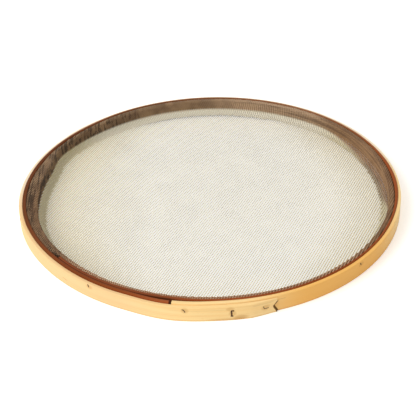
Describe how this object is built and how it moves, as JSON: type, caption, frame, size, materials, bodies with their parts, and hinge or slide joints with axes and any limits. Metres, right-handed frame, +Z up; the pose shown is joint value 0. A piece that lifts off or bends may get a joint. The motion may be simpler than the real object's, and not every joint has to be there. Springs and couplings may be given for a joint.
{
  "type": "tamis drum sieve",
  "caption": "Low round kitchen sieve: bent-wood hoops nested and nailed, gripping the turned-up edge of a shallow pan of woven wire cloth.",
  "frame": {"origin": "middle of the outer hoop's outline, on the table plane that the outer hoop stands on", "axes": "+Z up out of the drum's open side, -Y towards the front where the outer hoop's ends lap, +X to the right"},
  "size_m": [0.4018, 0.401, 0.018],
  "materials": {
    "pale_wood": "bare, smooth",
    "brown_wood": "stained, satin",
    "wire": "tinned, dull",
    "nail_steel": "rusted"
  },
  "bodies": {
    "root": {"outer_hoop": "pale_wood", "middle_hoop": "brown_wood", "inner_hoop": "brown_wood", "lap_packing": "brown_wood", "cloth_floor": "wire", "cloth_skirt": "wire", "hoop_nails": "nail_steel", "lap_nails": "nail_steel", "middle_tacks": "nail_steel", "inner_tacks": "nail_steel"}
  },
  "joints": []
}
